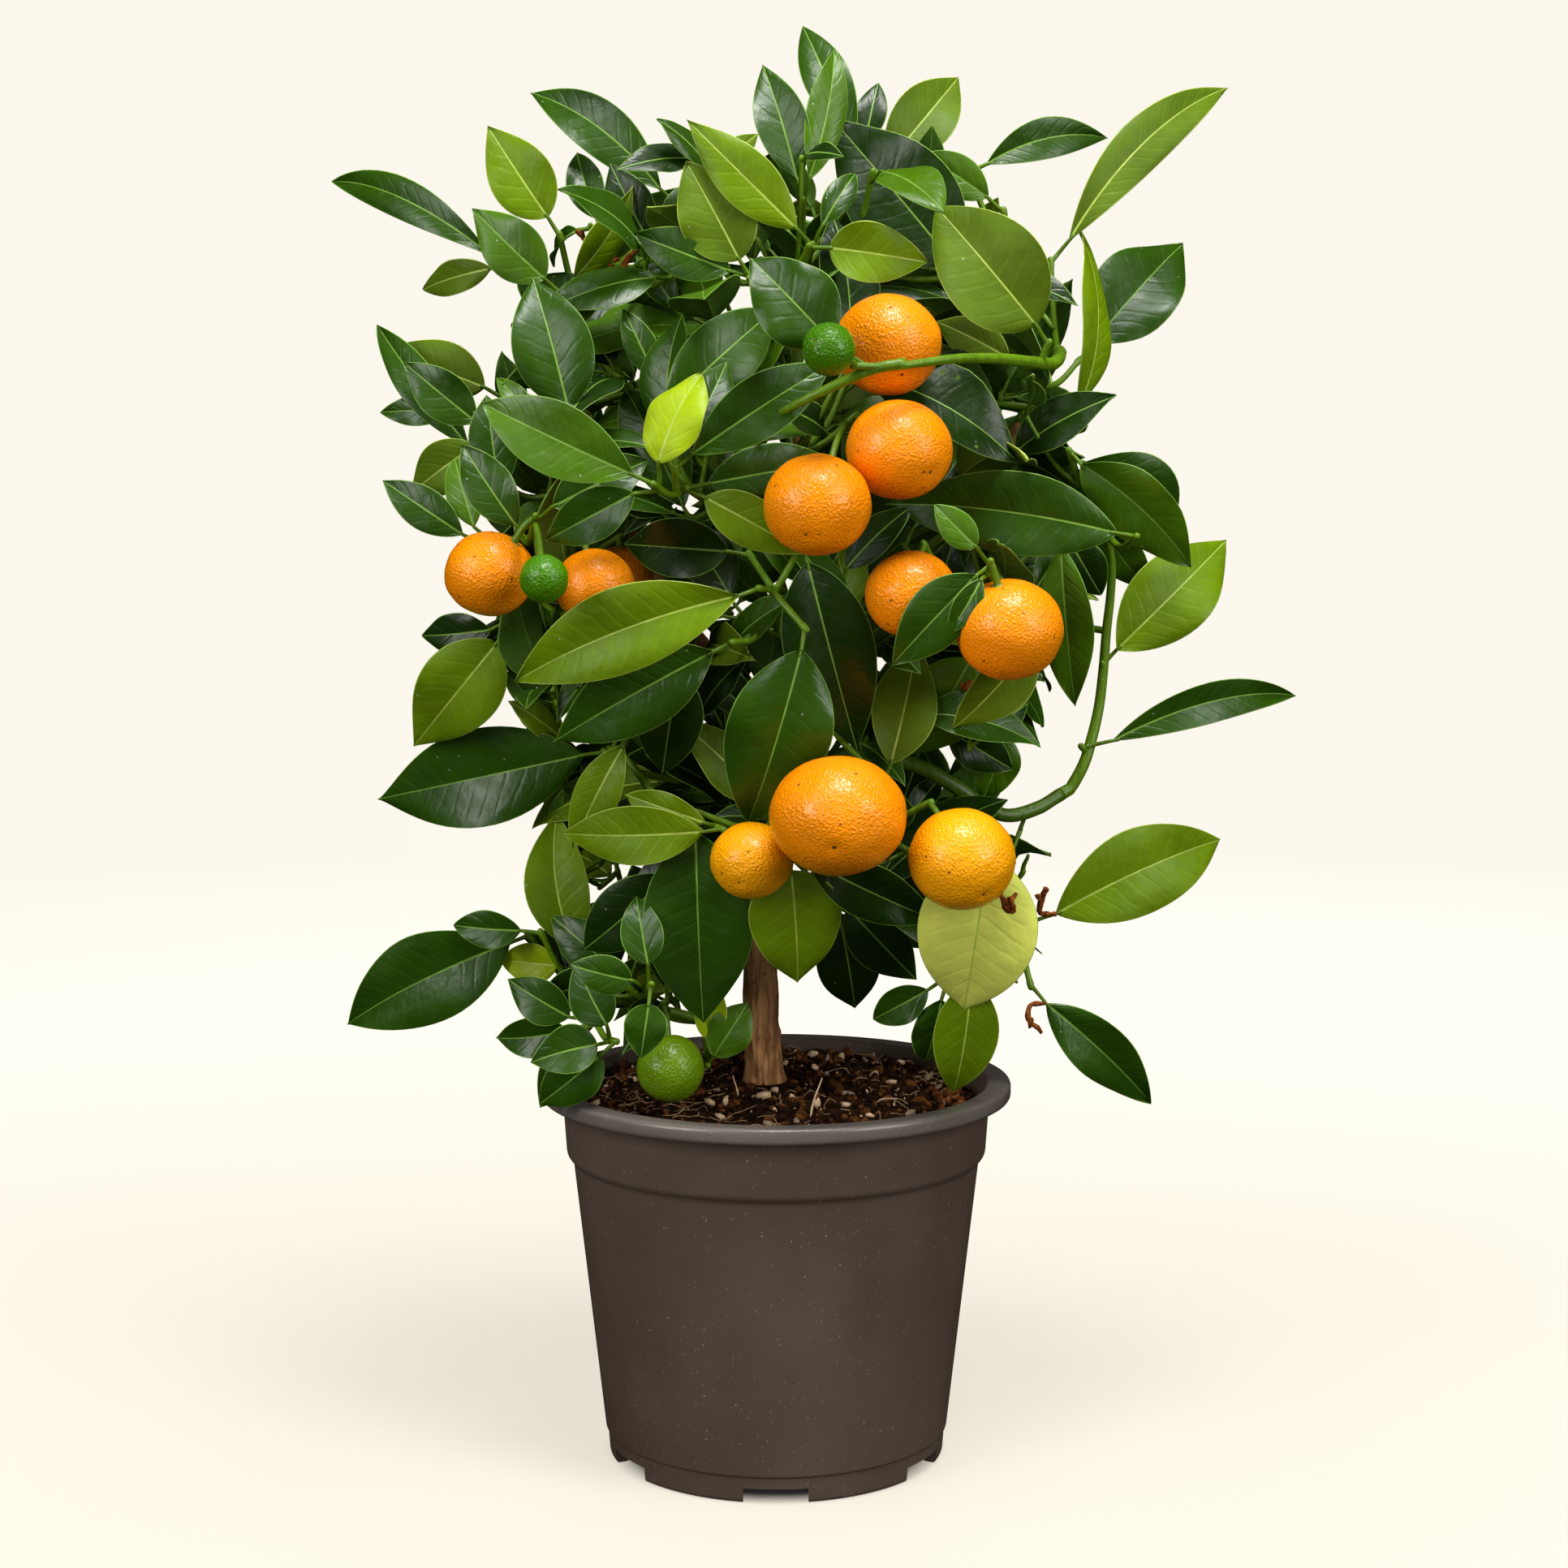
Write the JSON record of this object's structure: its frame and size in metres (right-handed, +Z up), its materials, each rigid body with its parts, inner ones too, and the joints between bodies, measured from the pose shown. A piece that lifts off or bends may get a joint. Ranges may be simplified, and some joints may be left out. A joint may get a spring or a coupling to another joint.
{
  "type": "calamondin orange tree in a nursery pot",
  "caption": "Bushy calamondin orange tree with glossy leaves, orange and green fruit and an arching shoot, growing from one trunk in a tapered plastic nursery pot",
  "frame": {"origin": "centre of the pot's flat underside, on the floor", "axes": "+Z up, the plant's front faces -Y, +X to the right as seen from the front"},
  "size_m": [0.3138, 0.1937, 0.4549],
  "materials": {
    "pot_plastic": "matte dark brown recycled plastic with fine pale specks",
    "potting_soil": "dark loose potting soil with tan chips and fine roots",
    "bark": "brown finely fissured bark",
    "green_bark": "smooth green young bark",
    "leaf_green": "glossy leathery citrus leaves with pale midribs",
    "fruit_orange": "satin dimpled citrus peel",
    "fruit_green": "glossy dimpled unripe peel"
  },
  "bodies": {
    "root": {"pot": "pot_plastic", "soil": "potting_soil", "trunk": "bark", "bough_top_centre": "bark", "bough_top_left": "bark", "bough_top_right": "bark", "bough_left": "green_bark", "bough_centre": "green_bark", "bough_middle": "green_bark", "bough_arch": "green_bark", "bough_inner_right": "green_bark", "bough_low_left": "green_bark", "bough_low_centre": "green_bark", "bough_low_right": "green_bark", "bough_back_top": "green_bark", "bough_back_left": "green_bark", "bough_back_right": "green_bark", "bough_back_low": "green_bark", "foliage_top_left": "leaf_green", "foliage_top_centre": "leaf_green", "foliage_top_right": "leaf_green", "foliage_right": "leaf_green", "foliage_inner_right": "leaf_green", "foliage_left_upper": "leaf_green", "foliage_left": "leaf_green", "foliage_centre": "leaf_green", "foliage_middle": "leaf_green", "foliage_low_left": "leaf_green", "foliage_low_centre": "leaf_green", "foliage_low_right": "leaf_green", "foliage_basal": "leaf_green", "foliage_back_top": "leaf_green", "foliage_back_left": "leaf_green", "foliage_back_right": "leaf_green", "foliage_back_low": "leaf_green"}
  },
  "joints": []
}
